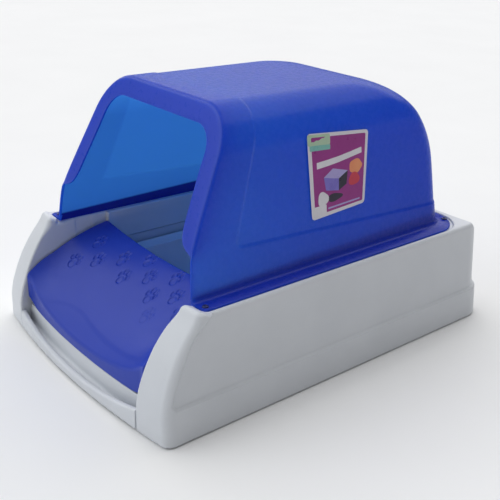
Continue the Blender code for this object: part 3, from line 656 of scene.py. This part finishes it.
def hood_mesh():
    verts, faces = [], []

    def add(row):
        base_i = len(verts)
        verts.extend(row)
        return list(range(base_i, base_i + len(row)))

    # section normals of each level, in the x-z plane
    rows_o, rows_i, info = [], [], []
    for z in LV:
        a = A_S if z <= ZT_S + 1e-6 else math.asin(min(1.0, (z - ZC_S) / R_S))
        nx, nz = math.cos(a), math.sin(a)
        r_e = 5.0 if z > 214.0 else 1.45 + 3.55 * float(sstep((z - 204.0) / 10.0))
        yf = front_y(z)
        o = [(x, y, z) for x, y in ring(z, yf + r_e)]
        if z <= ZT_S + 1e-6:
            i = [(x, y, z) for x, y in ring(z, yf + 3.2, 3.0)]
        else:
            zi = TOP - 3.0 - (TOP - z) * (R_S - 3.0) / R_S
            i = []
            for (x, y), (xo, yo) in zip(ring(z, yf + 3.2, 0.0), ring(z, yf + r_e)):
                i.append((x, y, z))
            n_side = len(U_SIDE) + U_FAR
            hx = half_w(z)
            k = (hx - 3.0 * nx) / max(hx, 1e-6)
            # over the shoulder the inner face follows 3 mm inside, towards the crown's middle
            dz = 3.0 * nz
            yb = back_y(z)
            ab = A_B if z <= ZT_B else math.asin(min(1.0, (z - ZC_B) / R_B))
            j = []
            for idx, (x, y, zz) in enumerate(i):
                yy = y
                if y > yf + 40.0:
                    yy = y - 3.0 * math.cos(ab) * sstep_f((y - yf - 40.0) / max(1.0, yb - yf - 40.0))
                j.append((x * k, yy, z - dz))
            i = j
        rows_o.append(o)
        rows_i.append(i)
        info.append((nx, nz, z, r_e))
    # flat crown: rings that close on the middle line
    z = TOP
    hx, yb, yf = half_w(z), back_y(z), front_y(z)
    y_c = yb - hx
    n_top = 16
    last_o, last_i = rows_o[-1], rows_i[-1]
    for k in range(1, n_top + 1):
        t = k / n_top
        ro, ri = [], []
        for src, dst in ((last_o, ro), (last_i, ri)):
            for (x, y, zz) in src:
                ty = min(y, y_c)
                dst.append((x * (1 - t), y + (ty - y) * t, zz))
        rows_o.append(ro)
        rows_i.append(ri)
        info.append((0.0, 1.0, TOP, 5.0))
    # raised frame around the saddle panel: the panel itself lies 1.3 mm lower
    def sunk(x, y, z):
        t1 = (y - (142.0 + 0.33 * (z - 231.0))) * 0.95
        t2 = z - (202.0 - (y - 154.5) * 0.0472)
        m = float(-rmax(-np.float64(t1), -np.float64(t2), 13.0))
        return 1.3 * sstep_f((m + 1.0) / 4.0)

    for j, row in enumerate(rows_o):
        nx, nz, z, _ = info[j]
        out = []
        n_side = len(U_SIDE) + U_FAR
        for idx, (x, y, zz) in enumerate(row):
            d = sunk(x, y, zz)
            if d > 0:
                if idx < n_side:
                    x2, y2, z2 = x - d * nx, y, zz - d * nz
                else:
                    q = (idx - n_side) / (len(row) - n_side)
                    ang = min(1.0, (idx - n_side) / N_ARC) * math.pi / 2
                    x2 = x - d * nx * math.cos(ang)
                    y2 = y - d * nx * math.sin(ang)
                    z2 = zz - d * nz
                out.append((x2, y2, z2))
            else:
                out.append((x, y, zz))
        rows_o[j] = out
        rows_i[j] = [(x - sunk(x, y, zz) * nx if idx < n_side else x, y, zz - sunk(x, y, zz) * nz)
                     for idx, (x, y, zz) in enumerate(rows_i[j])]

    # profile round the front edge at each level, from the outer face to the inner one
    edge_cols = []
    for j, (nx, nz, z, r_e) in enumerate(info):
        ox, oy, oz = rows_o[j][0]
        w_end = bezel_w(oz if z < TOP else TOP)
        prof = []
        for a in (15, 30, 45, 60, 75, 90):
            t = math.radians(a)
            prof.append((r_e * (1 - math.cos(t)), r_e * (1 - math.sin(t))))
        w0 = prof[-1][0]
        w_in = max(w_end - 1.2, w0 + 0.05)
        for k in range(1, 6):
            prof.append((w0 + (w_in - w0) * k / 5.0, 0.0))
        prof += [(w_in + 0.85, 0.35), (w_in + 1.2, 1.2), (w_in + 1.2, 2.2), (w_in + 0.85, 3.0)]
        back_w = 3.3
        w_b = w_in + 0.4
        for k in range(0, 4):
            prof.append((w_b + (back_w - w_b) * k / 3.0 if w_b > back_w else back_w - 0.3 + 0.1 * k, 3.2))
        col = []
        for w, q in prof:
            x, zz = ox - w * nx, oz - w * nz
            if z >= TOP - 1e-6:
                x = ox
            x = max(0.0, x)
            col.append((x, front_y(zz) + q, zz))
        edge_cols.append(col)

    # flange round the foot
    n = len(rows_o[0])
    fl = [[], [], [], [], [], [], []]
    r0 = ring(153.0, front_y(153.0) + 1.0)
    n_side = len(U_SIDE) + U_FAR
    for idx, (x, y) in enumerate(r0):
        if idx < n_side:
            dx, dy = 1.0, 0.0
        else:
            ang = min(1.0, (idx - n_side + 1) / N_ARC) * math.pi / 2
            dx, dy = math.cos(ang), math.sin(ang)
        w = 22.4 * dx * dx + 20.9 * dy * dy
        y = max(y, 64.8)
        for row, (q, zz) in zip(fl, ((-3.0, 150.0), (w - 0.9, 150.0), (w, 150.9), (w, 152.2), (w - 0.8, 153.0),
                                    (5.2, 153.0), (1.6, 154.5))):
            row.append((x + q * dx, y + q * dy, zz))

    def mirror(row):
        return [(-x, y, z) for x, y, z in row[::-1]][1:]

    all_rows = fl + rows_o
    grid = [add(r + mirror(r)) for r in all_rows]
    inner_grid = [add(r + mirror(r)) for r in rows_i]
    m = len(grid[0])
    for a, b in zip(grid, grid[1:]):
        for i in range(m - 1):
            faces.append([a[i], a[i + 1], b[i + 1], b[i]])
    for a, b in zip(inner_grid, inner_grid[1:]):
        for i in range(m - 1):
            faces.append([a[i], b[i], b[i + 1], a[i + 1]])
    # foot of the inner wall down to the flange's underside
    for i in range(m - 1):
        faces.append([grid[0][i], inner_grid[0][i], inner_grid[0][i + 1], grid[0][i + 1]])
    # front edge, right and left
    for side in (1, -1):
        cols = [add([(side * x, y, z) for x, y, z in c]) for c in edge_cols]
        first = 0 if side == 1 else m - 1
        full = []
        for j in range(len(info)):
            full.append([grid[len(fl) + j][first]] + cols[j] + [inner_grid[j][first]])
        for a, b in zip(full, full[1:]):
            for k in range(len(a) - 1):
                q = [a[k], b[k], b[k + 1], a[k + 1]]
                faces.append(q if side == 1 else q[::-1])
        cap = [grid[j][first] for j in range(len(fl))] + full[0]
        faces.append(cap if side == 1 else cap[::-1])
    return np.array(verts), faces


def sstep_f(t):
    t = min(1.0, max(0.0, t))
    return t * t * (3 - 2 * t)


v, f = hood_mesh()
hood = make_mesh("hood_moulding", v, f, HOOD)
bm = bmesh.new()
bm.from_mesh(hood.data)
bmesh.ops.remove_doubles(bm, verts=bm.verts, dist=2e-5)
bmesh.ops.dissolve_degenerate(bm, dist=1e-5, edges=bm.edges)
bmesh.ops.recalc_face_normals(bm, faces=bm.faces)
bm.to_mesh(hood.data)
bm.free()
hood.data.shade_smooth()
hood.data.set_sharp_from_angle(angle=math.radians(50))
hood.data.materials.append(HOOD_IN)
pn = np.zeros(len(hood.data.polygons) * 3)
hood.data.polygons.foreach_get("normal", pn)
pc = np.zeros(len(hood.data.polygons) * 3)
hood.data.polygons.foreach_get("center", pc)
pn, pc = pn.reshape(-1, 3), pc.reshape(-1, 3)
to_axis = np.stack([-pc[:, 0], np.minimum(0.0, 0.02 - pc[:, 1]), 0.16 - pc[:, 2]], axis=1)
inside = ((pn * to_axis).sum(1) > 0.25 * np.linalg.norm(to_axis, axis=1)) & (pc[:, 2] > 0.1535)
inside &= pc[:, 1] > (np.vectorize(front_y)(pc[:, 2] * 1000.0) + 3.4 - Y_MID) * 0.001
# the front-facing faces of the in-turned band take the lighter copy of the hood plastic: painted light
band = (pn[:, 1] < -0.6) & (pc[:, 2] > 0.205)
hood.data.materials.append(HOOD_BAND_PAINTED_LIGHT)
hood.data.polygons.foreach_set("material_index", (inside + 2 * (band & ~inside)).astype(np.int32))
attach(hood, "hood")
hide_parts("hood_shell")


# ------------------------------------------------------------------ turned small parts
def turned(name, cx, cy, prof, mat, body, n=40):
    """A turned piece from (radius, height) points, with grooves where the profile has them."""
    verts, faces = [], []
    for r, z in prof:
        for k in range(n):
            a = 2 * math.pi * k / n
            verts.append((cx + r * math.cos(a), cy + r * math.sin(a), z))
    m = len(prof)
    for j in range(m - 1):
        for k in range(n):
            k2 = (k + 1) % n
            faces.append([j * n + k, j * n + k2, (j + 1) * n + k2, (j + 1) * n + k])
    faces.append([k for k in range(n)][::-1])
    faces.append([(m - 1) * n + k for k in range(n)])
    ob = make_mesh(name, np.array(verts), faces, mat)
    bm = bmesh.new()
    bm.from_mesh(ob.data)
    bmesh.ops.recalc_face_normals(bm, faces=bm.faces)
    bm.to_mesh(ob.data)
    bm.free()
    ob.data.shade_smooth()
    ob.data.set_sharp_from_angle(angle=math.radians(40))
    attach(ob, body)
    return ob


STUDS = {"front_left": (-181.0, 74.0), "front_right": (181.0, 74.0),
         "back_left": (-160.0, 538.5), "back_right": (160.0, 538.5)}
for tag, (cx, cy) in STUDS.items():
    s = turned("stud_" + tag, cx, cy, [(3.9, 150.1), (4.0, 150.4), (4.0, 153.2), (3.9, 153.8), (3.6, 154.3), (3.0, 154.7),
                                       (2.2, 154.8), (1.9, 154.5), (1.7, 154.0), (0.9, 153.9)], STUD, "base")
    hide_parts("hood_stud_" + tag)

FEET = {"front_left": (-128.0, 48.0), "front_right": (128.0, 48.0),
        "back_left": (-128.0, 462.0), "back_right": (128.0, 462.0)}
for tag, (cx, cy) in FEET.items():
    s = turned("foot_" + tag, cx, cy, [(9.0, 0.35), (9.4, 0.0), (12.0, 0.0), (12.7, 0.15), (13.0, 0.5), (13.0, 0.9),
                                       (12.7, 1.2), (12.2, 1.3)], RUBBER, "base", 48)
    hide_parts("rubber_foot_" + tag)


# ------------------------------------------------------------------ label
LABEL = np.array([(259.5, 211.0), (356.5, 217.0), (367.0, 313.5), (256.0, 322.0)])


def label_point(u, v):
    """(y, z) on the label for u along its foot and v up, both 0 to 1."""
    a = LABEL[0] + (LABEL[1] - LABEL[0]) * u
    b = LABEL[3] + (LABEL[2] - LABEL[3]) * u
    return a + (b - a) * v


def label_piece(name, outline, mat, lift, n=14):
    """A printed patch: an outline in label coordinates, laid on the wall at a given lift in mm."""
    pts = []
    m = len(outline)
    for i in range(m):
        a, b = np.array(outline[i]), np.array(outline[(i + 1) % m])
        k = max(1, int(np.linalg.norm(b - a) * n))
        for t in range(k):
            pts.append(a + (b - a) * t / k)
    verts, faces = [], []
    ring_i = []
    for off in (lift, lift - 0.05):
        row = []
        for u, w in pts:
            y, z = label_point(u, w)
            row.append(len(verts))
            verts.append((half_w(z) + off, y, z))
        ring_i.append(row)
    k = len(pts)
    faces.append(ring_i[0])
    faces.append(ring_i[1][::-1])
    for i in range(k):
        j = (i + 1) % k
        faces.append([ring_i[0][i], ring_i[1][i], ring_i[1][j], ring_i[0][j]])
    ob = make_mesh(name, np.array(verts), faces, mat)
    bm = bmesh.new()
    bm.from_mesh(ob.data)
    bmesh.ops.triangulate(bm, faces=[f for f in bm.faces if len(f.verts) > 4])
    bmesh.ops.recalc_face_normals(bm, faces=bm.faces)
    bm.to_mesh(ob.data)
    bm.free()
    ob.data.shade_flat()
    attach(ob, "hood")
    return ob


def rrect(u0, v0, u1, v1, r, n=5):
    out = []
    for cx, cy, a0 in ((u1 - r, v0 + r, -90), (u1 - r, v1 - r, 0), (u0 + r, v1 - r, 90), (u0 + r, v0 + r, 180)):
        for k in range(n + 1):
            a = math.radians(a0 + 90.0 * k / n)
            out.append((cx + r * math.cos(a), cy + r * math.sin(a)))
    return out


def blob(cu, cv, ru, rv, n=28, wob=0.0, k=3, ph=0.0):
    return [(cu + ru * (1 + wob * math.cos(k * a + ph)) * math.cos(a), cv + rv * (1 + wob * math.cos(k * a + ph)) * math.sin(a))
            for a in [2 * math.pi * i / n for i in range(n)]]


V_WHITE = vinyl("label_white", (0.62, 0.60, 0.66), (0.70, 0.68, 0.73))
V_PURPLE = vinyl("label_purple", (0.250, 0.018, 0.190), (0.300, 0.028, 0.230))
V_TEAL = vinyl("label_teal", (0.16, 0.42, 0.40), (0.24, 0.50, 0.42))
V_GREEN = vinyl("label_green", (0.36, 0.50, 0.36), (0.44, 0.56, 0.42))
V_ORANGE = vinyl("label_orange", (0.70, 0.22, 0.10), (0.78, 0.30, 0.14))
V_VIOLET = vinyl("label_violet", (0.16, 0.13, 0.50), (0.22, 0.17, 0.56))
V_LILAC = vinyl("label_lilac", (0.34, 0.30, 0.60), (0.42, 0.36, 0.66))
V_RED = vinyl("label_red", (0.50, 0.03, 0.06), (0.58, 0.05, 0.08))
V_BLACK = vinyl("label_black", (0.015, 0.012, 0.03), (0.03, 0.02, 0.05))

lab = label_piece("label_sheet", rrect(0.0, 0.0, 1.0, 1.0, 0.05), V_WHITE, 0.62)
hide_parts("hood_label")
label_piece("label_field", rrect(0.06, 0.045, 0.955, 0.955, 0.02), V_PURPLE, 0.68)
label_piece("label_tab_green", rrect(-0.0, 0.86, 0.36, 0.985, 0.02), V_GREEN, 0.74)
label_piece("label_tab_teal", rrect(0.03, 0.80, 0.36, 0.862, 0.01), V_TEAL, 0.74)
# a plain band where the headline would be, left blank
label_piece("label_band_a", [(0.13, 0.66), (0.30, 0.675), (0.50, 0.70), (0.70, 0.735), (0.89, 0.775), (0.90, 0.70),
                             (0.70, 0.66), (0.50, 0.625), (0.30, 0.60), (0.13, 0.585)], V_WHITE, 0.74)
label_piece("label_box_top", [(0.24, 0.47), (0.50, 0.42), (0.66, 0.50), (0.40, 0.56)], V_LILAC, 0.74)
label_piece("label_box_left", [(0.24, 0.47), (0.50, 0.42), (0.50, 0.27), (0.27, 0.31)], V_VIOLET, 0.745)
label_piece("label_box_right", [(0.50, 0.42), (0.66, 0.50), (0.64, 0.33), (0.50, 0.27)], V_BLACK, 0.75)
label_piece("label_blob_orange", blob(0.80, 0.535, 0.115, 0.095, wob=0.05, k=5), V_ORANGE, 0.74)
label_piece("label_blob_red", blob(0.78, 0.37, 0.10, 0.085, wob=0.08, k=3, ph=1.2), V_RED, 0.745)
label_piece("label_blob_white", blob(0.215, 0.215, 0.095, 0.085, wob=0.10, k=3, ph=0.4), V_WHITE, 0.74)
label_piece("label_shadow", blob(0.43, 0.20, 0.13, 0.05, wob=0.12, k=3), V_BLACK, 0.74)
label_piece("label_patch_white", rrect(0.045, 0.03, 0.27, 0.145, 0.01), V_WHITE, 0.75)
label_piece("label_strip", rrect(0.30, 0.075, 0.90, 0.095, 0.008), V_LILAC, 0.74)


# ------------------------------------------------------------------ stage, lights, camera
def floor():
    me = bpy.data.meshes.new("floor")
    s = 60.0
    me.from_pydata([(-s, -s, 0), (s, -s, 0), (s, s, 0), (-s, s, 0)], [], [(0, 1, 2, 3)])
    m, nt, b, out, co = nodes_of("floor_paper")
    n = noise(nt, co, 3.0, 4.0)
    nt.links.new(mix(nt, span(nt, n, 0.0, 1.0), (0.86, 0.86, 0.865), (0.88, 0.88, 0.885)), b.inputs["Base Color"])
    b.inputs["Roughness"].default_value = 0.75
    b.inputs["Specular IOR Level"].default_value = 0.15
    me.materials.append(m)
    ob = bpy.data.objects.new("floor", me)
    bpy.context.scene.collection.objects.link(ob)


floor()


def area(name, loc, target, size, power, color=(1, 1, 1), size_y=None):
    d = bpy.data.lights.new(name, 'AREA')
    d.energy = power
    d.color = color
    d.size = size
    if size_y:
        d.shape = 'RECTANGLE'
        d.size_y = size_y
    ob = bpy.data.objects.new(name, d)
    ob.location = loc
    ob.rotation_euler = (Vector(target) - Vector(loc)).to_track_quat('-Z', 'Y').to_euler()
    bpy.context.scene.collection.objects.link(ob)
    return ob


def sun(name, towards, strength, angle, color=(1, 1, 1)):
    d = bpy.data.lights.new(name, 'SUN')
    d.energy = strength
    d.angle = math.radians(angle)
    d.color = color
    ob = bpy.data.objects.new(name, d)
    ob.rotation_euler = Vector(towards).to_track_quat('-Z', 'Y').to_euler()
    ob.location = (-2.0 * towards[0], -2.0 * towards[1], -2.0 * towards[2])
    bpy.context.scene.collection.objects.link(ob)
    return ob


sun("sky_back_left", (0.55, -0.42, -0.95), 2.5, 95.0)
sun("sky_front_left", (0.42, 0.85, -0.62), 1.05, 60.0, (0.93, 0.97, 1.0))

world = bpy.data.worlds.new("studio")
world.use_nodes = True
bg = world.node_tree.nodes["Background"]
bg.inputs["Color"].default_value = (1.0, 1.0, 1.0, 1.0)
bg.inputs["Strength"].default_value = 0.22
bpy.context.scene.world = world
bpy.context.scene.view_settings.view_transform = 'Standard'

cam_data = bpy.data.cameras.new("camera")
cam_data.sensor_width = 36.0
cam_data.lens = 800.095 * 36.0 / 500.0
cam = bpy.data.objects.new("camera", cam_data)
r = Vector((0.6325454971, 0.7737876403, 0.0337473227))
u = Vector((-0.3276131017, 0.2278223899, 0.9169332660))
w = Vector((-0.7018232325, 0.5910580736, -0.3976109957))
m4 = Matrix(((r.x, u.x, -w.x, 0.8412042924), (r.y, u.y, -w.y, -0.4177557000 - 0.2925), (r.z, u.z, -w.z, 0.5827563076),
             (0, 0, 0, 1)))
cam.matrix_world = m4
bpy.context.scene.collection.objects.link(cam)
bpy.context.scene.camera = cam
